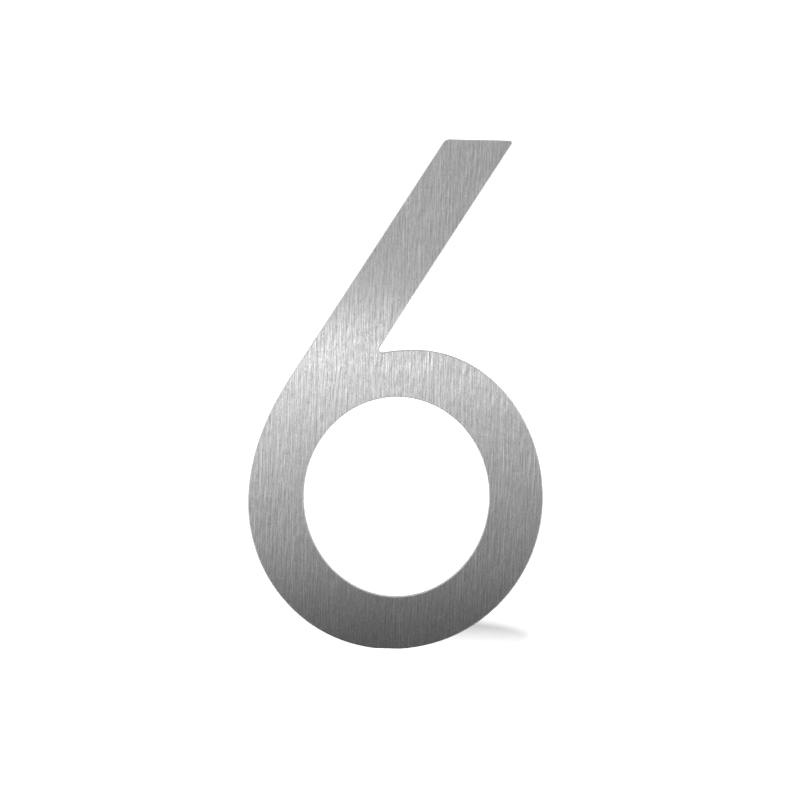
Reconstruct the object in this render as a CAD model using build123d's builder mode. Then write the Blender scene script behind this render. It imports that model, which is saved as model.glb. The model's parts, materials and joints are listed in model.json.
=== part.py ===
"""House number six: a brushed stainless numeral cut from plate, held off the wall on two hidden studs.

The frame: X to the right and Z up, seen from the street, with the front of the numeral towards -Y. Y = 0
is the wall, and the origin is halfway between the two studs, which stand one above the other. Sizes are in
millimetres.
"""

from build123d import *
import math
import os

os.makedirs("parts", exist_ok=True)

# The numeral, measured from the upright axis of its bowl
overall_height = 200.0
overall_width = 115.5
bowl_left = 56.0
bowl_top = 58.4
bowl_bottom = 59.1
crown_shift = 8.9  # the bowl's highest point lies this far right of the axis
cheek_drop = 2.0  # the bowl's leftmost point lies this far below its rightmost

# The counter, the oval hole in the bowl
counter_width = 72.3
counter_height = 78.2
counter_shift = 2.1  # right of the bowl's axis
counter_rise = 0.7

# The stem, a straight stroke that leans to the right
stem_width = 23.0  # across the stroke
stem_lean = 31.8  # degrees from upright
heel_rise = 21.55  # where its left edge, drawn on, would cross the upright line that touches the bowl
flank_rise = 46.2  # where that edge leaves the straight and curves into the bowl instead

# The plate and its edges
plate_thickness = 3.0
tip_left_radius = 3.0
tip_right_radius = 1.0
notch_radius = 1.2
front_edge_break = 0.4
back_edge_break = 0.2

# The hidden fixing: M4 studs welded to the back, each in a loose spacer sleeve
upper_stud_drop = 21.0  # below the stem's tip
stud_diameter = 4.0
stud_grip = 30.0  # the length that enters the wall's plug
stud_tip_chamfer = 0.6
flange_diameter = 5.5
flange_thickness = 0.8
spacer_length = 10.0
spacer_diameter = 10.0
spacer_clearance = 0.45  # round the stud's flange
spacer_edge_break = 0.3

bowl_right = overall_width - bowl_left

# The stem's edges, as straight lines across the heights above the bowl's axis
stem_top = overall_height - bowl_bottom
lean_slope = math.tan(math.radians(stem_lean))
level_width = stem_width / math.cos(math.radians(stem_lean))


def stem_left(height):
    return lean_slope * (height - heel_rise) - bowl_left


def stem_right(height):
    return stem_left(height) + level_width


# The upper stud is on the stem's centre line, and the lower one plumb below it in the middle of the bowl's
# bottom stroke, between the two ellipses that bound that stroke
upper_stud_height = stem_top - upper_stud_drop
stud_shift = (stem_left(upper_stud_height) + stem_right(upper_stud_height)) / 2
counter_share = (stud_shift - counter_shift) / (counter_width / 2)
counter_floor = counter_rise - counter_height / 2 * math.sqrt(1 - counter_share**2)
bowl_floor = -bowl_bottom * math.sqrt(1 - (stud_shift / bowl_right) ** 2)
lower_stud_height = (counter_floor + bowl_floor) / 2
stud_spacing = upper_stud_height - lower_stud_height

# The outline's corners and tangent points, from the bowl's axis
cheek = (-bowl_left, -cheek_drop)
heel = (-bowl_left, heel_rise)
flank_top = (stem_left(flank_rise), flank_rise)
tip_left = (stem_left(stem_top), stem_top)
tip_right = (stem_right(stem_top), stem_top)
notch = (stem_right(bowl_top), bowl_top)
stem_root = (stem_right(-cheek_drop), -cheek_drop)

# The back of the plate, with the bowl's axis as its own origin and its normal towards the street
bowl_axis = (-stud_shift, -spacer_length, -(upper_stud_height + lower_stud_height) / 2)
plate_back = Plane(origin=bowl_axis, x_dir=(1, 0, 0), z_dir=(0, -1, 0))

with BuildPart() as numeral_plate:
    with BuildSketch(plate_back):
        # The bowl: four quarter ellipses that meet where it is lowest, widest and highest
        with BuildLine():
            EllipticalCenterArc((0, 0), bowl_right, bowl_bottom, 270, arc_size=90)
            EllipticalCenterArc((crown_shift, 0), bowl_right - crown_shift, bowl_top, 0, arc_size=90)
            EllipticalCenterArc(
                (crown_shift, -cheek_drop), bowl_left + crown_shift, bowl_top + cheek_drop, 90, arc_size=90
            )
            EllipticalCenterArc((0, -cheek_drop), bowl_left, bowl_bottom - cheek_drop, 180, arc_size=90)
        make_face()
        # The stem, whose left edge runs into the bowl's cheek in one curve, tangent to both
        with BuildLine():
            Bezier(cheek, heel, flank_top)
            Polyline(flank_top, tip_left, tip_right, stem_root, cheek)
        make_face()
        with Locations((counter_shift, counter_rise)):
            Ellipse(counter_width / 2, counter_height / 2, mode=Mode.SUBTRACT)
    extrude(amount=plate_thickness)
    corner_radii = ((tip_left, tip_left_radius), (tip_right, tip_right_radius), (notch, notch_radius))
    for corner, radius in corner_radii:
        corner_place = plate_back.from_local_coords(corner)
        fillet(numeral_plate.edges().filter_by(Axis.Y).sort_by_distance(corner_place)[0], radius)
    chamfer(numeral_plate.faces().filter_by(Axis.Y).sort_by(Axis.Y)[0].edges(), front_edge_break)
    chamfer(numeral_plate.faces().filter_by(Axis.Y).sort_by(Axis.Y)[-1].edges(), back_edge_break)
numeral_plate.part.label = "numeral_plate"
export_step(numeral_plate.part, "parts/numeral_plate.step")

for place, height in (("upper", stud_spacing / 2), ("lower", -stud_spacing / 2)):
    # The plate's back where the stud stands on it, with its normal towards the wall
    fixing = Plane(origin=(0, -spacer_length, height), x_dir=(1, 0, 0), z_dir=(0, 1, 0))

    # A weld stud: a low round flange against the plate, and a shank that ends in a chamfer
    with BuildPart() as stud:
        with BuildSketch(fixing):
            Circle(flange_diameter / 2)
        extrude(amount=flange_thickness)
        with BuildSketch(fixing.offset(flange_thickness)):
            Circle(stud_diameter / 2)
        extrude(amount=spacer_length - flange_thickness + stud_grip)
        chamfer(stud.faces().sort_by(Axis.Y)[-1].edges(), stud_tip_chamfer)
    stud.part.label = f"stud_{place}"
    export_step(stud.part, f"parts/stud_{place}.step")

    # A turned sleeve that holds the plate off the wall, bored to pass over the stud's flange
    with BuildPart() as spacer:
        with BuildSketch(fixing):
            Circle(spacer_diameter / 2)
            Circle(flange_diameter / 2 + spacer_clearance, mode=Mode.SUBTRACT)
        extrude(amount=spacer_length)
        rims = spacer.edges().filter_by(GeomType.CIRCLE).group_by(SortBy.RADIUS)[-1]
        chamfer(rims, spacer_edge_break)
    spacer.part.label = f"spacer_{place}"
    export_step(spacer.part, f"parts/spacer_{place}.step")

print(f"studs {stud_spacing:.2f} mm apart, {stud_shift:.2f} mm right of the bowl's axis")
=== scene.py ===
"""House number six: the finishes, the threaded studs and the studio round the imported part.

Everything is in metres, in the part's own frame: X to the right and Z up seen from the street, the front of
the numeral towards -Y, and the wall at Y = 0.
"""

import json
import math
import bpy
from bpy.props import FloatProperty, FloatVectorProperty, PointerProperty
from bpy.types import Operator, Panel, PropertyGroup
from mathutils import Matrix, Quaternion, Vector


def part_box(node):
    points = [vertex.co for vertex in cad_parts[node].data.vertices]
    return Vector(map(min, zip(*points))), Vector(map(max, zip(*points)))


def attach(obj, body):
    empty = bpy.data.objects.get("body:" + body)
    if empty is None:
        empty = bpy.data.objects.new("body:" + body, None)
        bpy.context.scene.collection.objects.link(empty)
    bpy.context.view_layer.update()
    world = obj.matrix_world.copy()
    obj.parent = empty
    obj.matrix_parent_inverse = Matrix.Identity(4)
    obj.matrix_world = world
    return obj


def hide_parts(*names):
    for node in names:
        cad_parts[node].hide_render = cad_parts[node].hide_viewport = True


bl_info = {
    "name": "Brushed House Number",
    "version": (1, 0, 0),
    "blender": (4, 5, 0),
    "location": "View3D > Sidebar > House Number",
    "description": "Brushed stainless finish, threaded studs, turned spacers and a studio for a house number",
    "category": "Object",
}

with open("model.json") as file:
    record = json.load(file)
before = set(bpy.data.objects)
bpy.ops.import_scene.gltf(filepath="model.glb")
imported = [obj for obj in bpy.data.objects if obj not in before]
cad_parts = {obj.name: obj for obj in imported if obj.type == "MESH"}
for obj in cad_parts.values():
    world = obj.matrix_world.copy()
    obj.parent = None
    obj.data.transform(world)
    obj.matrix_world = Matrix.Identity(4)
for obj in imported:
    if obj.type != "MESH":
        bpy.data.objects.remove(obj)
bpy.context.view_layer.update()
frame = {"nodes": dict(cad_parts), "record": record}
plate_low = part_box("numeral_plate")[0]
stud_low, stud_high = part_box("stud_upper")

MM = 0.001

# The studs' axes run along Y, one this far above the origin and one this far below
STUD_RISE = (stud_low.z + stud_high.z) / 2

# The bowl's upright axis, halfway between its widest points
BOWL_AXIS = plate_low.x + 56 * MM

# Sides of a round shape, and twice the steps in one turn of the thread
ROUND_SIDES = 48

# Points of a mesh that are nearer together than this are one
WELD_DISTANCE = 0.002 * MM

# A property that runs from nothing to all
SHARE = {"subtype": "FACTOR", "min": 0.0, "max": 1.0}


def linear(hex_colour):
    """An sRGB hex colour as linear red, green and blue."""
    shares = [int(hex_colour[i : i + 2], 16) / 255 for i in (0, 2, 4)]
    return tuple(c / 12.92 if c <= 0.04045 else ((c + 0.055) / 1.055) ** 2.4 for c in shares)


def add_node(tree, kind, settings=None, inputs=None):
    """Adds a node, sets its own settings, and gives each named input a value or a link from a socket."""
    node = tree.nodes.new(kind)
    for name, value in (settings or {}).items():
        setattr(node, name, value)
    for name, value in (inputs or {}).items():
        if isinstance(value, bpy.types.NodeSocket):
            tree.links.new(value, node.inputs[name])
        else:
            node.inputs[name].default_value = value
    return node


def new_material(name):
    """An empty node material and its output node."""
    material = bpy.data.materials.new(name)
    material.use_nodes = True
    tree = material.node_tree
    tree.nodes.clear()
    return material, tree, tree.nodes.new("ShaderNodeOutputMaterial")


def deselect_all():
    """Leaves nothing selected, so that an operator acts on new things alone."""
    bpy.ops.object.select_all(action="DESELECT")


def select_only(piece):
    """Deselects everything, then selects and activates one object."""
    deselect_all()
    piece.select_set(True)
    bpy.context.view_layer.objects.active = piece


def select_faces(piece, wanted):
    """In edit mode, selects the faces that pass a test of their centre and normal, and nothing else."""
    bpy.ops.mesh.select_mode(type="FACE")
    bpy.ops.mesh.select_all(action="DESELECT")
    bpy.ops.object.mode_set(mode="OBJECT")
    for face in piece.data.polygons:
        face.select = wanted(face.center, face.normal)
    bpy.ops.object.mode_set(mode="EDIT")


def apply_modifier(piece, name, kind, **settings):
    """Adds a modifier to the active object, sets it and applies it."""
    modifier = piece.modifiers.new(name, kind)
    for key, value in settings.items():
        setattr(modifier, key, value)
    bpy.ops.object.modifier_apply(modifier=name)


class PlateFinish(PropertyGroup):
    """The numeral's brushed face, its edges and its back."""

    steel: FloatVectorProperty(
        name="Steel",
        description="Colour of brushed stainless steel",
        subtype="COLOR",
        default=linear("C4C4C4"),
    )
    # The edge breaks' paler colour is partly freshly ground steel and partly a painted highlight on the rims
    edge_steel_and_highlight: FloatVectorProperty(
        name="Edge Steel",
        description="Colour of the freshly ground edge breaks",
        subtype="COLOR",
        default=linear("DCDCDC"),
    )
    cut_steel: FloatVectorProperty(
        name="Cut Steel",
        description="Colour of the dull laser-cut walls",
        subtype="COLOR",
        default=linear("A4A4A2"),
    )
    back_steel: FloatVectorProperty(
        name="Back Steel",
        description="Colour of the unbrushed mill finish behind",
        subtype="COLOR",
        default=linear("ACACAB"),
    )
    # A real brushing line is a few hundredths of a millimetre wide, which is too fine to show in the render.
    # It is drawn as coarse as it needs to show
    hair_width: FloatProperty(
        name="Hair Width", description="Width of one brushing line", unit="LENGTH", default=0.26 * MM
    )
    groove_spacing: FloatProperty(
        name="Groove Spacing",
        description="From one groove of the brushing belt to the next",
        unit="LENGTH",
        default=1.15 * MM,
    )
    hair_length: FloatProperty(
        name="Hair Length", description="Length of a short brushing line", unit="LENGTH", default=3.0 * MM
    )
    long_hair_length: FloatProperty(
        name="Long Hair Length", description="Length of a long brushing line", unit="LENGTH", default=7.5 * MM
    )
    stray: FloatProperty(
        name="Stray", description="How far a brushing line strays sideways", unit="LENGTH", default=0.07 * MM
    )
    stagger: FloatProperty(
        name="Stagger",
        description="How much higher a brushing line starts than the next, as a multiple of their distance",
        default=4.0,
    )
    grit: FloatProperty(
        name="Grit",
        description="How strongly the belt's grit breaks up the brushing lines",
        default=0.4,
        **SHARE,
    )
    grit_length: FloatProperty(
        name="Grit Length",
        description="Length of a break in a brushing line",
        unit="LENGTH",
        default=1.0 * MM,
    )
    scratch_length: FloatProperty(
        name="Scratch Length", description="Length of a deep, bright scratch", unit="LENGTH", default=14 * MM
    )
    # A deep scratch's extra brightness is a painted glint in the colour
    painted_scratch_glint: FloatProperty(
        name="Scratch Glint", description="How much brighter a deep scratch is than the face", default=0.35
    )
    band_width: FloatProperty(
        name="Band Width", description="Width of a band that the belt leaves", unit="LENGTH", default=3 * MM
    )
    band_length: FloatProperty(
        name="Band Length",
        description="Length of a band that the belt leaves",
        unit="LENGTH",
        default=60 * MM,
    )
    band_contrast: FloatProperty(
        name="Band Contrast", description="From the darkest band to the brightest", default=0.1
    )
    cut_line_pitch: FloatProperty(
        name="Cut Line Pitch",
        description="Distance between the laser's lines across the cut edge",
        unit="LENGTH",
        default=0.25 * MM,
    )
    rolling_line_width: FloatProperty(
        name="Rolling Line Width", description="Of the mill finish behind", unit="LENGTH", default=0.6 * MM
    )
    rolling_line_length: FloatProperty(
        name="Rolling Line Length", description="Of the mill finish behind", unit="LENGTH", default=30 * MM
    )
    face_contrast: FloatProperty(
        name="Face Contrast", description="Between light and dark brushing lines", default=1.3
    )
    wall_contrast: FloatProperty(
        name="Wall Contrast", description="Between light and dark lines on the edges", default=0.85
    )
    back_contrast: FloatProperty(
        name="Back Contrast", description="Between light and dark rolling lines", default=0.6
    )
    relief_depth: FloatProperty(
        name="Relief Depth",
        description="Depth of the lines on every surface",
        unit="LENGTH",
        default=0.006 * MM,
    )
    face_roughness: FloatProperty(
        name="Face Roughness", description="Of the brushed face and the cut walls", default=0.32, **SHARE
    )
    edge_roughness: FloatProperty(
        name="Edge Roughness", description="Of the ground edge breaks", default=0.45, **SHARE
    )
    back_roughness: FloatProperty(
        name="Back Roughness", description="Of the mill finish behind", default=0.42, **SHARE
    )
    line_roughness: FloatProperty(
        name="Line Roughness", description="How much duller a dark line is than a light one", default=0.35
    )


class StudSizes(PropertyGroup):
    """The M4 weld studs."""

    steel: FloatVectorProperty(
        name="Steel", description="Colour of the rolled thread", subtype="COLOR", default=linear("BEBDBB")
    )
    diameter: FloatProperty(
        name="Diameter", description="Outer diameter of the thread", unit="LENGTH", default=3.96 * MM
    )
    pitch: FloatProperty(name="Pitch", description="Pitch of the thread", unit="LENGTH", default=0.7 * MM)
    thread_depth: FloatProperty(
        name="Thread Depth", description="From the crest to the root", unit="LENGTH", default=0.43 * MM
    )
    tip_chamfer: FloatProperty(
        name="Tip Chamfer", description="Chamfer at the stud's end", unit="LENGTH", default=0.6 * MM
    )
    flange_diameter: FloatProperty(
        name="Flange Diameter", description="Of the round weld flange", unit="LENGTH", default=5.5 * MM
    )
    flange_thickness: FloatProperty(
        name="Flange Thickness", description="Of the round weld flange", unit="LENGTH", default=0.8 * MM
    )
    neck_diameter: FloatProperty(
        name="Neck Diameter",
        description="Of the plain neck before the thread",
        unit="LENGTH",
        default=3.5 * MM,
    )
    neck_length: FloatProperty(
        name="Neck Length", description="From the flange to the thread", unit="LENGTH", default=1.0 * MM
    )
    # Rolling leaves lines a few hundredths of a millimetre wide, which are too fine to show in the render.
    # They are drawn as coarse as they need to show
    line_width: FloatProperty(
        name="Line Width", description="Width of a line round the thread", unit="LENGTH", default=0.12 * MM
    )
    line_contrast: FloatProperty(
        name="Line Contrast", description="Between light and dark lines", default=0.36
    )
    line_depth: FloatProperty(
        name="Line Depth", description="Depth of a line round the thread", unit="LENGTH", default=0.004 * MM
    )
    # The root's lower lightness is painted shade in the thread's grooves
    painted_root_lightness: FloatProperty(
        name="Root Tone", description="Lightness of the thread's root beside its crest", default=0.78, **SHARE
    )
    crest_roughness: FloatProperty(
        name="Crest Roughness", description="Of the burnished crest", default=0.22, **SHARE
    )
    root_roughness: FloatProperty(
        name="Root Roughness", description="Of the oily root", default=0.38, **SHARE
    )


class SpacerFinish(PropertyGroup):
    """The turned sleeves."""

    steel: FloatVectorProperty(
        name="Steel", description="Colour of the turned sleeve", subtype="COLOR", default=linear("C2C1BF")
    )
    # A lathe's finishing feed is under a tenth of a millimetre, which is too fine to show in the render. The
    # tool marks are drawn as coarse as they need to show
    feed: FloatProperty(
        name="Feed", description="Distance between the lathe's tool marks", unit="LENGTH", default=0.2 * MM
    )
    mark_contrast: FloatProperty(
        name="Mark Contrast", description="Between light and dark tool marks", default=0.5
    )
    mark_depth: FloatProperty(
        name="Mark Depth", description="Depth of the lathe's tool marks", unit="LENGTH", default=0.01 * MM
    )
    roughness: FloatProperty(
        name="Roughness", description="Of the turned steel", default=0.28, **SHARE
    )


class StudioSettings(PropertyGroup):
    """The camera, the floor and the lights."""

    aim: FloatVectorProperty(
        name="Aim",
        description="The point on the numeral's face in the middle of the picture",
        subtype="TRANSLATION",
        unit="LENGTH",
        default=(-15.86 * MM, plate_low.y, 1.31 * MM),
    )
    camera_distance: FloatProperty(
        name="Camera Distance", description="From the lens to the numeral", unit="LENGTH", default=3.0
    )
    picture_width: FloatProperty(
        name="Picture Width",
        description="Width of the picture at the numeral's face",
        unit="LENGTH",
        default=312.4 * MM,
    )
    elevation: FloatProperty(
        name="Elevation",
        description="How far the camera looks down",
        subtype="ANGLE",
        default=math.radians(4.0),
    )
    roll: FloatProperty(
        name="Roll",
        description="How far the camera is turned about its own axis",
        subtype="ANGLE",
        default=math.radians(1.26),
    )
    board_distance: FloatProperty(
        name="Board Distance",
        description="From the wall's plane to the light board in front of the numeral",
        unit="LENGTH",
        default=135.0 * MM,
    )
    key_elevation: FloatProperty(
        name="Key Elevation",
        description="Height of the key light above the floor",
        subtype="ANGLE",
        default=math.radians(43.2),
    )
    key_width: FloatProperty(
        name="Key Width",
        description="How wide the key light looks from the numeral, which softens its shadow",
        subtype="ANGLE",
        default=math.radians(9.0),
    )
    key_strength: FloatProperty(name="Key Strength", description="Strength of the key light", default=3.8)
    world_strength: FloatProperty(
        name="World Strength", description="Strength of the light from all round", default=0.5
    )


def brushed_plate_material(finish):
    """Stainless plate: a belt-brushed face of fine upright hairs that catch the light one by one, with
    painted light and shade on their flanks and a painted glint on deep scratches in its colour, ground edge
    breaks with a softer shine and a paler colour that is partly a painted highlight, laser-cut walls with
    lines across them, and a dull mill finish behind."""
    material, tree, output = new_material("Brushed Stainless Plate")
    coords = add_node(tree, "ShaderNodeTexCoord")
    place = coords.outputs["Object"]
    facing = add_node(tree, "ShaderNodeSeparateXYZ", None, {0: coords.outputs["Normal"]}).outputs["Y"]
    away = add_node(tree, "ShaderNodeMath", {"operation": "ABSOLUTE"}, {0: facing}).outputs[0]

    # Which surface it is: the normal's share along Y is 1 on the faces, 0.7 on the edge breaks and 0 on the
    # cut walls
    wall_limit = 0.4
    face_limit = 0.9
    on_wall = add_node(
        tree, "ShaderNodeMath", {"operation": "LESS_THAN"}, {0: away, 1: wall_limit}
    ).outputs[0]
    on_face = add_node(
        tree, "ShaderNodeMath", {"operation": "GREATER_THAN"}, {0: away, 1: face_limit}
    ).outputs[0]
    on_back = add_node(
        tree, "ShaderNodeMath", {"operation": "GREATER_THAN"}, {0: facing, 1: face_limit}
    ).outputs[0]

    # Hairs stray sideways a little along their length, and those 1.5 mm apart stray together
    stray_scale = (1 / (1.5 * MM), 1 / (1.5 * MM), 1 / (5 * MM))
    stray_place = add_node(
        tree, "ShaderNodeVectorMath", {"operation": "MULTIPLY"}, {0: place, 1: stray_scale}
    )
    stray = add_node(
        tree, "ShaderNodeTexNoise", None, {"Vector": stray_place.outputs[0], "Scale": 1.0, "Detail": 1.0}
    )
    shift = add_node(
        tree,
        "ShaderNodeMath",
        {"operation": "MULTIPLY_ADD"},
        {0: stray.outputs["Fac"], 1: 2 * finish.stray, 2: -finish.stray},
    )
    # Neighbouring hairs start at different heights, and lie half a hair deep, where the noise is most even
    x_place = add_node(tree, "ShaderNodeSeparateXYZ", None, {0: place}).outputs["X"]
    stagger = add_node(
        tree, "ShaderNodeMath", {"operation": "MULTIPLY"}, {0: x_place, 1: finish.stagger}
    ).outputs[0]
    sideways = add_node(
        tree,
        "ShaderNodeCombineXYZ",
        None,
        {"X": shift.outputs[0], "Y": finish.hair_width / 2, "Z": stagger},
    )
    strayed = add_node(
        tree, "ShaderNodeVectorMath", {"operation": "ADD"}, {0: place, 1: sideways.outputs[0]}
    )
    beside = add_node(
        tree,
        "ShaderNodeVectorMath",
        {"operation": "ADD"},
        {0: strayed.outputs[0], 1: (finish.groove_spacing / 2, 0, 0)},
    )

    # The marks on each surface, as noise stretched along them, each with its place, its scale and its detail.
    # The scale is one over the mark's size along X, Y and Z: the hairs run along Z, the laser's lines along Y
    fine = finish.hair_width
    band = finish.band_width
    cut = finish.cut_line_pitch
    rolled = finish.rolling_line_width
    short_scale = (1 / fine, 1 / fine, 1 / finish.hair_length)
    long_scale = (1 / fine, 1 / fine, 1 / finish.long_hair_length)
    marks = {
        "short hairs": (strayed.outputs[0], short_scale, 2.0),
        "short hairs beside": (beside.outputs[0], short_scale, 2.0),
        "long hairs": (strayed.outputs[0], long_scale, 2.0),
        "long hairs beside": (beside.outputs[0], long_scale, 2.0),
        "grit": (place, (1 / fine, 1 / fine, 1 / finish.grit_length), 0.0),
        "deep scratches": (strayed.outputs[0], (1 / fine, 1 / fine, 1 / finish.scratch_length), 0.0),
        "belt bands": (place, (1 / band, 1 / band, 1 / finish.band_length), 1.0),
        "cut lines": (place, (1 / cut, 1 / (8 * MM), 1 / cut), 1.0),
        "rolling lines": (place, (1 / rolled, 1 / rolled, 1 / finish.rolling_line_length), 2.0),
    }
    level = {}
    for name, (source, scale, detail) in marks.items():
        stretched = add_node(tree, "ShaderNodeVectorMath", {"operation": "MULTIPLY"}, {0: source, 1: scale})
        noise = add_node(
            tree,
            "ShaderNodeTexNoise",
            None,
            {"Vector": stretched.outputs[0], "Scale": 1.0, "Detail": detail, "Roughness": 0.5},
        )
        level[name] = noise.outputs["Fac"]

    # A Mix node's numbers are its inputs 2 and 3, and its colours its inputs 6 and 7
    hairs = add_node(
        tree, "ShaderNodeMix", None, {0: 0.5, 2: level["short hairs"], 3: level["long hairs"]}
    ).outputs[0]
    hairs_beside = add_node(
        tree, "ShaderNodeMix", None, {0: 0.5, 2: level["short hairs beside"], 3: level["long hairs beside"]}
    ).outputs[0]
    # Each groove is light on one flank and dark on the other: in the colour this is painted light and shade,
    # in the relief a bump
    flanks = add_node(
        tree, "ShaderNodeMath", {"operation": "SUBTRACT"}, {0: hairs, 1: hairs_beside}
    ).outputs[0]
    # The belt's grit breaks each groove up along its length
    broken = add_node(
        tree,
        "ShaderNodeMapRange",
        None,
        {"Value": level["grit"], "To Min": 0.5 - finish.grit / 2, "To Max": 0.5 + finish.grit / 2},
    ).outputs[0]
    hairs = add_node(tree, "ShaderNodeMath", {"operation": "ADD"}, {0: flanks, 1: broken}).outputs[0]
    both_faces = add_node(
        tree, "ShaderNodeMix", None, {0: on_back, 2: hairs, 3: level["rolling lines"]}
    ).outputs[0]
    relief = add_node(
        tree, "ShaderNodeMix", None, {0: on_wall, 2: both_faces, 3: level["cut lines"]}
    ).outputs[0]

    # Tone: strong on the brushed face, weaker on the edges and the back
    contrast = add_node(
        tree,
        "ShaderNodeMapRange",
        None,
        {
            "Value": facing,
            "From Min": -0.95,
            "From Max": -0.8,
            "To Min": finish.face_contrast,
            "To Max": finish.wall_contrast,
        },
    ).outputs[0]
    contrast = add_node(
        tree, "ShaderNodeMix", None, {0: on_back, 2: contrast, 3: finish.back_contrast}
    ).outputs[0]
    centred = add_node(tree, "ShaderNodeMath", {"operation": "SUBTRACT"}, {0: relief, 1: 0.5}).outputs[0]
    # The grain's tone in the colour carries the painted light and shade of the groove flanks
    grain_and_flank_shade = add_node(
        tree, "ShaderNodeMath", {"operation": "MULTIPLY_ADD"}, {0: centred, 1: contrast, 2: 1.0}
    ).outputs[0]
    half_band = finish.band_contrast / 2
    banding = add_node(
        tree,
        "ShaderNodeMapRange",
        None,
        {"Value": level["belt bands"], "To Min": 1 - half_band, "To Max": 1 + half_band},
    ).outputs[0]
    # Only the noise's few peaks are deep scratches, and a painted glint brightens them in the colour
    painted_glint = add_node(
        tree,
        "ShaderNodeMapRange",
        None,
        {"Value": level["deep scratches"], "From Min": 0.66, "From Max": 0.8, "To Max": finish.painted_scratch_glint},
    ).outputs[0]
    streaked = add_node(tree, "ShaderNodeMath", {"operation": "ADD"}, {0: grain_and_flank_shade, 1: painted_glint}).outputs[0]
    tone = add_node(tree, "ShaderNodeMath", {"operation": "MULTIPLY"}, {0: streaked, 1: banding}).outputs[0]
    face_colour = add_node(
        tree,
        "ShaderNodeMix",
        {"data_type": "RGBA"},
        {0: on_back, 6: (*finish.steel, 1), 7: (*finish.back_steel, 1)},
    ).outputs[2]
    # The edge breaks take the paler colour, part ground steel and part painted highlight, and the walls the
    # cut steel
    edge_colour = add_node(
        tree,
        "ShaderNodeMix",
        {"data_type": "RGBA"},
        {0: on_wall, 6: (*finish.edge_steel_and_highlight, 1), 7: (*finish.cut_steel, 1)},
    ).outputs[2]
    plain_colour = add_node(
        tree, "ShaderNodeMix", {"data_type": "RGBA"}, {0: on_face, 6: edge_colour, 7: face_colour}
    ).outputs[2]
    colour = add_node(
        tree, "ShaderNodeVectorMath", {"operation": "SCALE"}, {0: plain_colour, "Scale": tone}
    ).outputs[0]

    # Roughness: the face and the walls smoothest, then the back, and the edge breaks dullest
    on_face_or_wall = add_node(
        tree, "ShaderNodeMath", {"operation": "ADD"}, {0: on_face, 1: on_wall}
    ).outputs[0]
    front_rough = add_node(
        tree,
        "ShaderNodeMapRange",
        None,
        {"Value": on_face_or_wall, "To Min": finish.edge_roughness, "To Max": finish.face_roughness},
    ).outputs[0]
    rough = add_node(
        tree, "ShaderNodeMix", None, {0: on_back, 2: front_rough, 3: finish.back_roughness}
    ).outputs[0]
    roughness = add_node(
        tree,
        "ShaderNodeMath",
        {"operation": "MULTIPLY_ADD"},
        {0: centred, 1: -finish.line_roughness, 2: rough},
    ).outputs[0]
    bump = add_node(
        tree, "ShaderNodeBump", None, {"Strength": 1.0, "Distance": finish.relief_depth, "Height": relief}
    ).outputs[0]
    steel = add_node(
        tree,
        "ShaderNodeBsdfPrincipled",
        None,
        {"Base Color": colour, "Metallic": 1.0, "Roughness": roughness, "Normal": bump},
    )
    tree.links.new(steel.outputs[0], output.inputs["Surface"])
    return material


def axis_place(tree):
    """Where a point lies about the nearer stud's axis: its distance from the axis, its angle, and Y."""
    place = add_node(tree, "ShaderNodeTexCoord").outputs["Object"]
    split = add_node(tree, "ShaderNodeSeparateXYZ", None, {0: place})
    rise = add_node(tree, "ShaderNodeMath", {"operation": "ABSOLUTE"}, {0: split.outputs["Z"]}).outputs[0]
    above = add_node(tree, "ShaderNodeMath", {"operation": "SUBTRACT"}, {0: rise, 1: STUD_RISE}).outputs[0]
    across = add_node(tree, "ShaderNodeCombineXYZ", None, {"X": split.outputs["X"], "Y": above}).outputs[0]
    radius = add_node(tree, "ShaderNodeVectorMath", {"operation": "LENGTH"}, {0: across}).outputs["Value"]
    angle = add_node(
        tree, "ShaderNodeMath", {"operation": "ARCTAN2"}, {0: split.outputs["X"], 1: above}
    ).outputs[0]
    return radius, angle, split.outputs["Y"]


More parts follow.
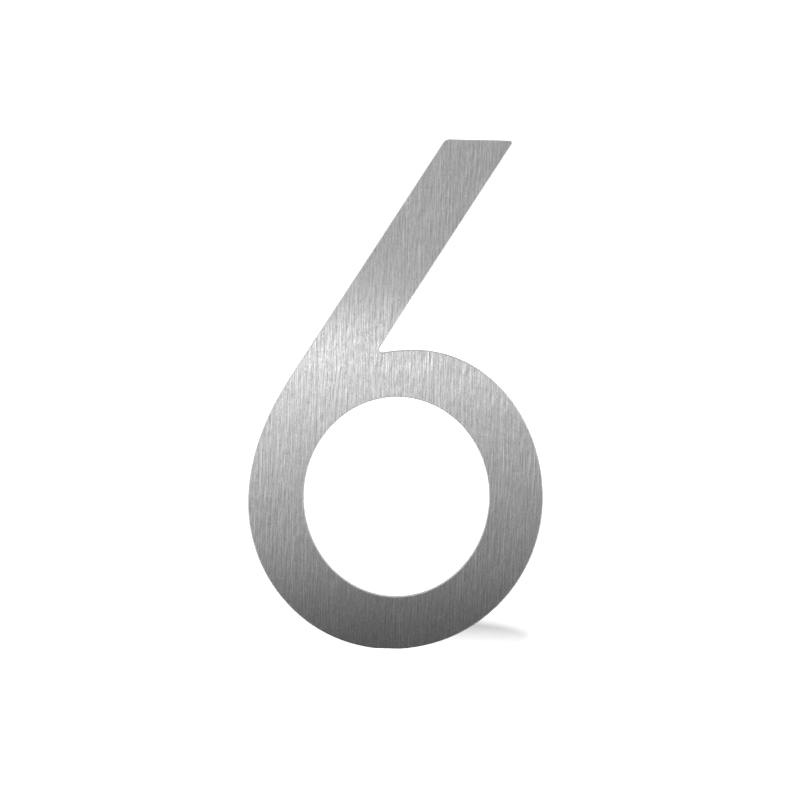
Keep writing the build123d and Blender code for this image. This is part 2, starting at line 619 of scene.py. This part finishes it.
def rolled_thread_material(sizes):
    """Stainless thread rolled, not cut: bright burnished flanks with a few fine lines round them, and painted
    shade that darkens the roots."""
    material, tree, output = new_material("Rolled Stainless Thread")
    radius, angle, along = axis_place(tree)
    crest = sizes.diameter / 2
    root = crest - sizes.thread_depth
    # Painted shade: the colour darkens from the crest down into the root
    painted_root_shade = add_node(
        tree,
        "ShaderNodeMapRange",
        None,
        {"Value": radius, "From Min": root, "From Max": crest, "To Min": sizes.painted_root_lightness, "To Max": 1.0},
    ).outputs[0]
    # The lines run round the axis: their noise changes fast along Y and outwards, and slowly with the angle
    wide = sizes.line_width
    lines_place = add_node(
        tree,
        "ShaderNodeCombineXYZ",
        None,
        {
            "X": add_node(tree, "ShaderNodeMath", {"operation": "MULTIPLY"}, {0: angle, 1: 0.6}).outputs[0],
            "Y": add_node(tree, "ShaderNodeMath", {"operation": "DIVIDE"}, {0: along, 1: wide}).outputs[0],
            "Z": add_node(tree, "ShaderNodeMath", {"operation": "DIVIDE"}, {0: radius, 1: wide}).outputs[0],
        },
    ).outputs[0]
    lines = add_node(
        tree, "ShaderNodeTexNoise", None, {"Vector": lines_place, "Scale": 1.0, "Detail": 1.0}
    ).outputs["Fac"]
    half_line = sizes.line_contrast / 2
    line_tone = add_node(
        tree, "ShaderNodeMapRange", None, {"Value": lines, "To Min": 1 - half_line, "To Max": 1 + half_line}
    ).outputs[0]
    tone = add_node(
        tree, "ShaderNodeMath", {"operation": "MULTIPLY"}, {0: painted_root_shade, 1: line_tone}
    ).outputs[0]
    colour = add_node(
        tree, "ShaderNodeVectorMath", {"operation": "SCALE"}, {0: tuple(sizes.steel), "Scale": tone}
    ).outputs[0]
    roughness = add_node(
        tree,
        "ShaderNodeMapRange",
        None,
        {
            "Value": painted_root_shade,
            "From Min": sizes.painted_root_lightness,
            "To Min": sizes.root_roughness,
            "To Max": sizes.crest_roughness,
        },
    ).outputs[0]
    bump = add_node(
        tree, "ShaderNodeBump", None, {"Strength": 1.0, "Distance": sizes.line_depth, "Height": lines}
    ).outputs[0]
    steel = add_node(
        tree,
        "ShaderNodeBsdfPrincipled",
        None,
        {"Base Color": colour, "Metallic": 1.0, "Roughness": roughness, "Normal": bump},
    )
    tree.links.new(steel.outputs[0], output.inputs["Surface"])
    return material


def turned_sleeve_material(finish):
    """Stainless sleeve parted off on a lathe: fine tool marks that run round it, which draw the light into
    soft streaks along it and a fan of light on its ends."""
    material, tree, output = new_material("Turned Stainless Sleeve")
    feed = finish.feed
    radius, angle, along = axis_place(tree)
    # The tool marks run round the axis, as the thread's lines do
    marks_place = add_node(
        tree,
        "ShaderNodeCombineXYZ",
        None,
        {
            "X": add_node(tree, "ShaderNodeMath", {"operation": "MULTIPLY"}, {0: angle, 1: 0.5}).outputs[0],
            "Y": add_node(tree, "ShaderNodeMath", {"operation": "DIVIDE"}, {0: along, 1: feed}).outputs[0],
            "Z": add_node(tree, "ShaderNodeMath", {"operation": "DIVIDE"}, {0: radius, 1: feed}).outputs[0],
        },
    ).outputs[0]
    marks = add_node(
        tree, "ShaderNodeTexNoise", None, {"Vector": marks_place, "Scale": 1.0, "Detail": 2.0}
    ).outputs["Fac"]
    half_mark = finish.mark_contrast / 2
    tone = add_node(
        tree, "ShaderNodeMapRange", None, {"Value": marks, "To Min": 1 - half_mark, "To Max": 1 + half_mark}
    ).outputs[0]
    colour = add_node(
        tree, "ShaderNodeVectorMath", {"operation": "SCALE"}, {0: tuple(finish.steel), "Scale": tone}
    ).outputs[0]
    bump = add_node(
        tree, "ShaderNodeBump", None, {"Strength": 1.0, "Distance": finish.mark_depth, "Height": marks}
    ).outputs[0]
    steel = add_node(
        tree,
        "ShaderNodeBsdfPrincipled",
        None,
        {"Base Color": colour, "Metallic": 1.0, "Roughness": finish.roughness, "Normal": bump},
    )
    tree.links.new(steel.outputs[0], output.inputs["Surface"])
    return material


def floor_material():
    """White light table: bright enough to clip to white, but for the soft wedge of shadow on the right. The
    light from below drowns the shadow near the numeral's foot, on its left and far behind it, and is weaker
    on the floor that the numeral hides from the street."""
    material, tree, output = new_material("White Light Table")
    # Light levels, of which 1 is white on an unlit surface
    foot_level = 0.925
    wedge_level = 0.1
    hidden_level = 0.2
    white_level = 0.7
    mirrored_level = 0.3
    path = add_node(tree, "ShaderNodeLightPath")
    seen = add_node(
        tree,
        "ShaderNodeMath",
        {"operation": "MAXIMUM"},
        {0: path.outputs["Is Camera Ray"], 1: path.outputs["Is Transmission Ray"]},
    ).outputs[0]
    mirrored = add_node(
        tree,
        "ShaderNodeMath",
        {"operation": "MULTIPLY"},
        {0: path.outputs["Is Glossy Ray"], 1: mirrored_level},
    ).outputs[0]
    coords = add_node(tree, "ShaderNodeTexCoord")
    split = add_node(tree, "ShaderNodeSeparateXYZ", None, {0: coords.outputs["Object"]})
    across = add_node(
        tree, "ShaderNodeMath", {"operation": "SUBTRACT"}, {0: split.outputs["X"], 1: BOWL_AXIS}
    ).outputs[0]
    depth = add_node(
        tree, "ShaderNodeMath", {"operation": "SUBTRACT"}, {0: split.outputs["Y"], 1: plate_low.y}
    ).outputs[0]

    # The glow on the right: most at the numeral's foot, 20 mm before the wall's plane, least where the wedge
    # shows, and white again far behind
    foot_gap = add_node(
        tree, "ShaderNodeMath", {"operation": "ADD"}, {0: split.outputs["Y"], 1: 20 * MM}
    ).outputs[0]
    foot_gap = add_node(tree, "ShaderNodeMath", {"operation": "ABSOLUTE"}, {0: foot_gap}).outputs[0]
    near = add_node(
        tree,
        "ShaderNodeMapRange",
        None,
        {"Value": foot_gap, "From Max": 124 * MM, "To Min": foot_level, "To Max": wedge_level},
    ).outputs[0]
    far = add_node(
        tree,
        "ShaderNodeMapRange",
        None,
        {
            "Value": split.outputs["Y"],
            "From Min": 115 * MM,
            "From Max": 141 * MM,
            "To Min": wedge_level,
            "To Max": white_level,
        },
    ).outputs[0]
    left = add_node(
        tree,
        "ShaderNodeMapRange",
        None,
        {
            "Value": across,
            "From Min": -4 * MM,
            "From Max": 0.0,
            "To Min": white_level,
            "To Max": wedge_level,
        },
    ).outputs[0]
    open_floor = add_node(tree, "ShaderNodeMath", {"operation": "MAXIMUM"}, {0: near, 1: left}).outputs[0]

    # The bowl, a circle of 60 mm radius seen from 4 degrees above, hides the floor behind it out to the root
    # of its depth times 12 mm
    reach = add_node(tree, "ShaderNodeMath", {"operation": "MULTIPLY"}, {0: depth, 1: 12 * MM}).outputs[0]
    reach = add_node(tree, "ShaderNodeMath", {"operation": "SQRT"}, {0: reach}).outputs[0]
    aside = add_node(tree, "ShaderNodeMath", {"operation": "ABSOLUTE"}, {0: across}).outputs[0]
    inside = add_node(tree, "ShaderNodeMath", {"operation": "SUBTRACT"}, {0: reach, 1: aside}).outputs[0]
    hidden = add_node(
        tree, "ShaderNodeMapRange", None, {"Value": inside, "From Min": 1 * MM, "From Max": 9 * MM}
    ).outputs[0]
    level = add_node(tree, "ShaderNodeMix", None, {0: hidden, 2: open_floor, 3: hidden_level}).outputs[0]
    level = add_node(tree, "ShaderNodeMath", {"operation": "MAXIMUM"}, {0: level, 1: far}).outputs[0]
    strength = add_node(
        tree, "ShaderNodeMath", {"operation": "MULTIPLY_ADD"}, {0: seen, 1: level, 2: mirrored}
    ).outputs[0]
    glow = add_node(tree, "ShaderNodeEmission", None, {"Color": (1, 1, 1, 1), "Strength": strength})
    paint = add_node(tree, "ShaderNodeBsdfDiffuse", None, {"Color": (0.8, 0.8, 0.8, 1)})
    both = add_node(tree, "ShaderNodeAddShader", None, {0: glow.outputs[0], 1: paint.outputs[0]})
    tree.links.new(both.outputs[0], output.inputs["Surface"])
    return material


def board_material(name, low, high, stops, side_levels=(1.0, 1.0)):
    """Graded light board that only the metal's reflections see. The stops are heights in millimetres with
    their light levels, and the side levels multiply them 150 mm to the left and to the right."""
    material, tree, output = new_material(name)
    side_reach = 150 * MM
    coords = add_node(tree, "ShaderNodeTexCoord")
    split = add_node(tree, "ShaderNodeSeparateXYZ", None, {0: coords.outputs["Object"]})
    height = add_node(
        tree, "ShaderNodeMapRange", None, {"Value": split.outputs["Z"], "From Min": low, "From Max": high}
    ).outputs[0]
    ramp = add_node(tree, "ShaderNodeValToRGB", None, {"Fac": height})
    elements = ramp.color_ramp.elements
    elements.remove(elements[1])
    for i, (stop_height, glow_level) in enumerate(stops):
        share = (stop_height * MM - low) / (high - low)
        element = elements[0] if i == 0 else elements.new(share)
        element.position = share
        element.color = (glow_level, glow_level, glow_level, 1)
    side = add_node(
        tree,
        "ShaderNodeMapRange",
        None,
        {
            "Value": split.outputs["X"],
            "From Min": -side_reach,
            "From Max": side_reach,
            "To Min": side_levels[0],
            "To Max": side_levels[1],
        },
    ).outputs[0]
    glow = add_node(tree, "ShaderNodeEmission", None, {"Color": ramp.outputs[0], "Strength": side})
    tree.links.new(glow.outputs[0], output.inputs["Surface"])
    return material


def foot_material():
    """Dark card that brightens to both sides, from 50 to 180 mm off the bowl's axis, until it is as bright as
    the table: the metal's lower end mirrors it."""
    material, tree, output = new_material("Dark Foot")
    coords = add_node(tree, "ShaderNodeTexCoord")
    split = add_node(tree, "ShaderNodeSeparateXYZ", None, {0: coords.outputs["Object"]})
    across = add_node(
        tree, "ShaderNodeMath", {"operation": "SUBTRACT"}, {0: split.outputs["X"], 1: BOWL_AXIS}
    ).outputs[0]
    aside = add_node(tree, "ShaderNodeMath", {"operation": "ABSOLUTE"}, {0: across}).outputs[0]
    level = add_node(
        tree,
        "ShaderNodeMapRange",
        {"interpolation_type": "SMOOTHSTEP"},
        {"Value": aside, "From Min": 50 * MM, "From Max": 180 * MM, "To Min": 0.08, "To Max": 1.2},
    ).outputs[0]
    glow = add_node(tree, "ShaderNodeEmission", None, {"Color": (1, 1, 1, 1), "Strength": level})
    tree.links.new(glow.outputs[0], output.inputs["Surface"])
    return material


def add_card(name, centre, size, turn, material):
    """A flat card that nothing but the metal's reflections sees, its size along X, Y and Z."""
    bpy.ops.mesh.primitive_plane_add(size=1.0, location=centre, rotation=turn)
    card = bpy.context.object
    card.name = name
    bpy.ops.object.transform_apply(location=False, rotation=True, scale=False)
    bpy.ops.object.mode_set(mode="EDIT")
    bpy.ops.transform.resize(value=size)
    bpy.ops.object.mode_set(mode="OBJECT")
    bpy.ops.object.transform_apply(location=True, rotation=False, scale=False)
    card.data.materials.append(material)
    card.visible_camera = False
    card.visible_diffuse = False
    card.visible_shadow = False


def give_material(piece, material):
    """Puts a material in a CAD node's slot, on the object, so that the node's mesh stays as it is."""
    piece.material_slots[0].link = "OBJECT"
    piece.material_slots[0].material = material


class HOUSENUMBER_OT_finish_plate(Operator):
    """Give the numeral its brushed face, ground edges, cut walls and mill-finish back"""

    bl_idname = "house_number.finish_plate"
    bl_label = "Finish Plate"

    def execute(self, context):
        material = brushed_plate_material(context.scene.house_number_plate)
        give_material(frame["nodes"]["numeral_plate"], material)
        return {"FINISHED"}


class HOUSENUMBER_OT_finish_spacers(Operator):
    """Give the two spacer sleeves their turned finish"""

    bl_idname = "house_number.finish_spacers"
    bl_label = "Finish Spacers"

    def execute(self, context):
        material = turned_sleeve_material(context.scene.house_number_spacers)
        for name in ("spacer_upper", "spacer_lower"):
            give_material(frame["nodes"][name], material)
        return {"FINISHED"}


class HOUSENUMBER_OT_make_studs(Operator):
    """Make the two weld studs, each with a flange, a neck and a rolled M4 thread"""

    bl_idname = "house_number.make_studs"
    bl_label = "Make Studs"

    def execute(self, context):
        sizes = context.scene.house_number_studs
        root_y = stud_low.y
        tip_y = stud_high.y
        axis = (0.0, 0.0, STUD_RISE)
        crest = sizes.diameter / 2
        thread_start = root_y + sizes.flange_thickness + sizes.neck_length

        # One pitch of the metric thread's profile, from a single point: crest, flank, root, flank. The thread
        # has spare turns at both ends, and the blank below cuts it to length
        spare_turns = 3
        first_y = thread_start - spare_turns * sizes.pitch
        turns = math.ceil((tip_y - first_y) / sizes.pitch) + spare_turns
        bpy.ops.mesh.primitive_plane_add(size=sizes.pitch, location=axis)
        thread = context.object
        thread.name = "threaded_stud_upper"
        bpy.ops.object.mode_set(mode="EDIT")
        bpy.ops.mesh.merge(type="CENTER")
        bpy.ops.transform.translate(value=(crest, first_y, 0))
        steps = (
            (0, sizes.pitch / 8),
            (-sizes.thread_depth, sizes.pitch * 5 / 16),
            (0, sizes.pitch / 4),
            (sizes.thread_depth, sizes.pitch * 5 / 16),
        )
        for outward, along in steps:
            bpy.ops.mesh.extrude_region_move(TRANSFORM_OT_translate={"value": (outward, along, 0)})
        bpy.ops.object.mode_set(mode="OBJECT")
        apply_modifier(
            thread,
            "Thread",
            "SCREW",
            axis="Y",
            angle=2 * math.pi,
            screw_offset=sizes.pitch,
            iterations=turns,
            steps=ROUND_SIDES // 2,
            render_steps=ROUND_SIDES // 2,
        )
        bpy.ops.object.mode_set(mode="EDIT")
        bpy.ops.mesh.select_all(action="SELECT")
        bpy.ops.mesh.remove_doubles(threshold=WELD_DISTANCE)
        bpy.ops.mesh.fill_holes(sides=0)
        bpy.ops.mesh.flip_normals()
        bpy.ops.object.mode_set(mode="OBJECT")
        bpy.ops.object.transform_apply(location=True, rotation=False, scale=False)

        # The blank that cuts the thread to length and chamfers both ends. It is a little wider than the
        # crests, so that it leaves them whole
        margin = 0.02 * MM
        bpy.ops.mesh.primitive_cylinder_add(
            vertices=ROUND_SIDES,
            radius=crest + margin,
            depth=tip_y - thread_start,
            location=(0, (tip_y + thread_start) / 2, STUD_RISE),
            rotation=(math.pi / 2, 0, 0),
        )
        blank = context.object
        bpy.ops.object.transform_apply(location=True, rotation=True, scale=False)
        bpy.ops.object.mode_set(mode="EDIT")
        select_faces(blank, lambda centre, normal: abs(normal.y) > 0.9)
        bpy.ops.mesh.bevel(offset=sizes.tip_chamfer, segments=1, affect="EDGES")
        bpy.ops.object.mode_set(mode="OBJECT")

        # The flange and the neck, which reaches into the thread so that the two unite
        overlap = 0.7 * sizes.pitch
        bpy.ops.mesh.primitive_cylinder_add(
            vertices=ROUND_SIDES,
            radius=sizes.flange_diameter / 2,
            depth=sizes.flange_thickness,
            location=(0, root_y + sizes.flange_thickness / 2, STUD_RISE),
            rotation=(math.pi / 2, 0, 0),
        )
        flange = context.object
        bpy.ops.object.transform_apply(location=True, rotation=True, scale=False)
        bpy.ops.object.mode_set(mode="EDIT")
        select_faces(flange, lambda centre, normal: normal.y > 0.9)
        bpy.ops.mesh.inset(thickness=(sizes.flange_diameter - sizes.neck_diameter) / 2)
        bpy.ops.mesh.extrude_region_move(
            TRANSFORM_OT_translate={"value": (0, sizes.neck_length + overlap, 0)}
        )
        bpy.ops.object.mode_set(mode="OBJECT")

        select_only(thread)
        apply_modifier(thread, "Ends", "BOOLEAN", operation="INTERSECT", object=blank, solver="EXACT")
        apply_modifier(thread, "Flange", "BOOLEAN", operation="UNION", object=flange, solver="EXACT")
        for helper in (blank, flange):
            bpy.data.objects.remove(helper)

        # The cuts leave slivers, which are dissolved before and after the faces are cut into triangles
        bpy.ops.object.mode_set(mode="EDIT")
        bpy.ops.mesh.select_all(action="SELECT")
        bpy.ops.mesh.dissolve_degenerate(threshold=WELD_DISTANCE)
        bpy.ops.mesh.quads_convert_to_tris(ngon_method="BEAUTY")
        bpy.ops.mesh.dissolve_degenerate(threshold=WELD_DISTANCE)
        bpy.ops.object.mode_set(mode="OBJECT")
        thread.data.materials.clear()
        thread.data.materials.append(rolled_thread_material(sizes))
        # The flanks stand at about 60 degrees to the crests and stay sharp. Facets of 15 degrees look round
        bpy.ops.object.shade_smooth_by_angle(angle=math.radians(28))

        # The lower stud is a copy with its own mesh
        bpy.ops.object.duplicate()
        lower = context.object
        lower.name = "threaded_stud_lower"
        lower.location = (0, 0, -2 * STUD_RISE)
        bpy.ops.object.transform_apply(location=True, rotation=False, scale=False)

        for piece, node in ((thread, "stud_upper"), (lower, "stud_lower")):
            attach(piece, "root")
            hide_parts(node)
        return {"FINISHED"}


class HOUSENUMBER_OT_set_stage(Operator):
    """Set the floor, the lights and the camera"""

    bl_idname = "house_number.set_stage"
    bl_label = "Set Stage"

    def execute(self, context):
        studio = context.scene.house_number_studio
        scene = context.scene
        deselect_all()

        # Camera
        towards_camera = Vector((0, -math.cos(studio.elevation), math.sin(studio.elevation)))
        bpy.ops.object.camera_add(location=Vector(studio.aim) + towards_camera * studio.camera_distance)
        camera = context.object
        camera.name = "camera"
        camera.rotation_mode = "QUATERNION"
        turn = Quaternion((0, 0, 1), studio.roll)
        camera.rotation_quaternion = (-towards_camera).to_track_quat("-Z", "Y") @ turn
        camera.data.sensor_width = 36.0
        camera.data.lens = camera.data.sensor_width * studio.camera_distance / studio.picture_width
        camera.data.clip_end = 100.0
        scene.camera = camera

        # Floor
        bpy.ops.mesh.primitive_grid_add(size=60.0, location=(0, 0, plate_low.z))
        floor = context.object
        floor.name = "floor"
        bpy.ops.object.transform_apply(location=True, rotation=False, scale=False)
        floor.data.materials.append(floor_material())

        # The cards' light. The brushed face mirrors the front board, whose levels grade the face from the
        # dark foot of the bowl to the light band at the notch and the grey stem
        low = plate_low.z + 1 * MM
        high = low + 300 * MM
        front_stops = (
            (-95, 0.05),
            (-75, 0.4),
            (-50, 0.53),
            (-25, 0.8),
            (-8, 0.84),
            (0, 1.0),
            (8, 1.63),
            (16, 1.9),
            (24, 1.1),
            (32, 0.5),
            (45, 0.5),
            (70, 0.69),
            (110, 0.57),
            (150, 1.0),
        )
        front = board_material("Front Board", low, high, front_stops, (1.5, 0.5))
        foot = foot_material()
        sides = board_material("Side Boards", low, high, ((-95, 0.85),), (0.8, 1.2))
        above = board_material("Grey Card Above", low, high, ((-95, 0.35),))
        rear = board_material("Rear Board", low, 5 * high, ((-95, 0.5), (20, 0.85), (150, 1.05), (400, 1.15)))
        strip = board_material("Bright Strip", low, high, ((-95, 1.3),))

        # The cards' names, centres, sizes, turns and materials: the graded board in front, the dark foot
        # below it that reaches back under the numeral, a bright strip on the table at the right, a lit strip
        # behind the plate's foot that the edge break over the counter mirrors, and boards at both sides,
        # above and behind
        quarter = math.pi / 2
        flat = (0, 0, 0)
        upright = (quarter, 0, 0)
        facing_across = (0, quarter, 0)
        board_y = -studio.board_distance
        foot_y = plate_low.y + 4 * MM
        foot_z = plate_low.z + 0.2 * MM
        foot_middle = (BOWL_AXIS, (board_y + foot_y) / 2, foot_z)
        cards = (
            ("front_board", (0, board_y, (low + high) / 2), (1.6, 1, high - low), upright, front),
            ("dark_foot", foot_middle, (360 * MM, foot_y - board_y, 1), flat, foot),
            ("bright_strip", (0.18, -0.02, foot_z - 0.1 * MM), (0.3, 0.12, 1), flat, strip),
            ("lit_strip", (BOWL_AXIS, 8 * MM, foot_z), (100 * MM, 34 * MM, 1), flat, strip),
            ("left_board", (-0.5, 0, 0.2), (1, 0.6, 0.6), facing_across, sides),
            ("right_board", (0.5, 0, 0.2), (1, 0.6, 0.6), facing_across, sides),
            ("grey_card", (0, 0, 0.5), (0.9, 0.25, 1), flat, above),
            ("rear_board", (0, 0.4, 0.25), (1.4, 1, 0.69), upright, rear),
        )
        for name, centre, size, turn, material in cards:
            add_card(name, centre, size, turn, material)

        # A flag in the counter, which only the key light meets: no patch of light falls through on the table
        opening = frame["record"]["physics"]["openings"][0]
        opening_low, opening_high = (Vector(corner) for corner in opening["box_m"])
        middle = (opening_low + opening_high) / 2
        bpy.ops.mesh.primitive_circle_add(
            vertices=ROUND_SIDES, radius=0.5, fill_type="NGON", location=middle, rotation=upright
        )
        flag = context.object
        flag.name = "counter_flag"
        bpy.ops.object.transform_apply(location=False, rotation=True, scale=False)
        bpy.ops.object.mode_set(mode="EDIT")
        # The opening's box is the largest in the oval, so the oval is wider and higher by the root of two
        bpy.ops.transform.resize(value=(opening_high - opening_low) * math.sqrt(2))
        bpy.ops.object.mode_set(mode="OBJECT")
        bpy.ops.object.transform_apply(location=True, rotation=False, scale=False)
        flag.visible_camera = False
        flag.visible_diffuse = False
        flag.visible_glossy = False
        flag.visible_transmission = False

        # World: plain light from all round, which looks white to the camera and in the metal
        world = bpy.data.worlds.new("White Studio")
        scene.world = world
        world.use_nodes = True
        tree = world.node_tree
        tree.nodes.clear()
        path = add_node(tree, "ShaderNodeLightPath")
        seen = add_node(
            tree,
            "ShaderNodeMath",
            {"operation": "MAXIMUM"},
            {0: path.outputs["Is Camera Ray"], 1: path.outputs["Is Glossy Ray"]},
        ).outputs[0]
        seen = add_node(
            tree,
            "ShaderNodeMath",
            {"operation": "MAXIMUM"},
            {0: seen, 1: path.outputs["Is Transmission Ray"]},
        ).outputs[0]
        strength = add_node(
            tree, "ShaderNodeMapRange", None, {"Value": seen, "To Min": studio.world_strength, "To Max": 1.0}
        )
        back = add_node(
            tree, "ShaderNodeBackground", None, {"Color": (1, 1, 1, 1), "Strength": strength.outputs[0]}
        )
        add_node(tree, "ShaderNodeOutputWorld", None, {"Surface": back.outputs[0]})

        # Key light
        bpy.ops.object.light_add(type="SUN", location=(0, -1, 1))
        sun = context.object
        sun.name = "key"
        sun.data.energy = studio.key_strength
        sun.data.angle = studio.key_width
        sun.rotation_mode = "QUATERNION"
        way = Vector((0, 1, -math.tan(studio.key_elevation)))
        sun.rotation_quaternion = way.to_track_quat("-Z", "Y")
        sun.visible_glossy = False

        scene.view_settings.view_transform = "Standard"
        return {"FINISHED"}


class HOUSENUMBER_PT_sidebar(Panel):
    """Lists the pieces of the house number"""

    bl_label = "House Number"
    bl_space_type = "VIEW_3D"
    bl_region_type = "UI"
    bl_category = "House Number"

    def draw(self, context):
        for operator in ("finish_plate", "finish_spacers", "make_studs", "set_stage"):
            self.layout.operator("house_number." + operator)
        for group in ("plate", "spacers", "studs", "studio"):
            settings = getattr(context.scene, "house_number_" + group)
            box = self.layout.box()
            for name in settings.__annotations__:
                box.prop(settings, name)


CLASSES = (
    PlateFinish,
    SpacerFinish,
    StudSizes,
    StudioSettings,
    HOUSENUMBER_OT_finish_plate,
    HOUSENUMBER_OT_finish_spacers,
    HOUSENUMBER_OT_make_studs,
    HOUSENUMBER_OT_set_stage,
    HOUSENUMBER_PT_sidebar,
)


def register():
    for cls in CLASSES:
        bpy.utils.register_class(cls)
    bpy.types.Scene.house_number_plate = PointerProperty(type=PlateFinish)
    bpy.types.Scene.house_number_spacers = PointerProperty(type=SpacerFinish)
    bpy.types.Scene.house_number_studs = PointerProperty(type=StudSizes)
    bpy.types.Scene.house_number_studio = PointerProperty(type=StudioSettings)


def unregister():
    del bpy.types.Scene.house_number_studio
    del bpy.types.Scene.house_number_studs
    del bpy.types.Scene.house_number_spacers
    del bpy.types.Scene.house_number_plate
    for cls in reversed(CLASSES):
        bpy.utils.unregister_class(cls)


def main():
    register()
    bpy.ops.house_number.finish_plate()
    bpy.ops.house_number.finish_spacers()
    bpy.ops.house_number.make_studs()
    bpy.ops.house_number.set_stage()


if __name__ == "__main__":
    main()
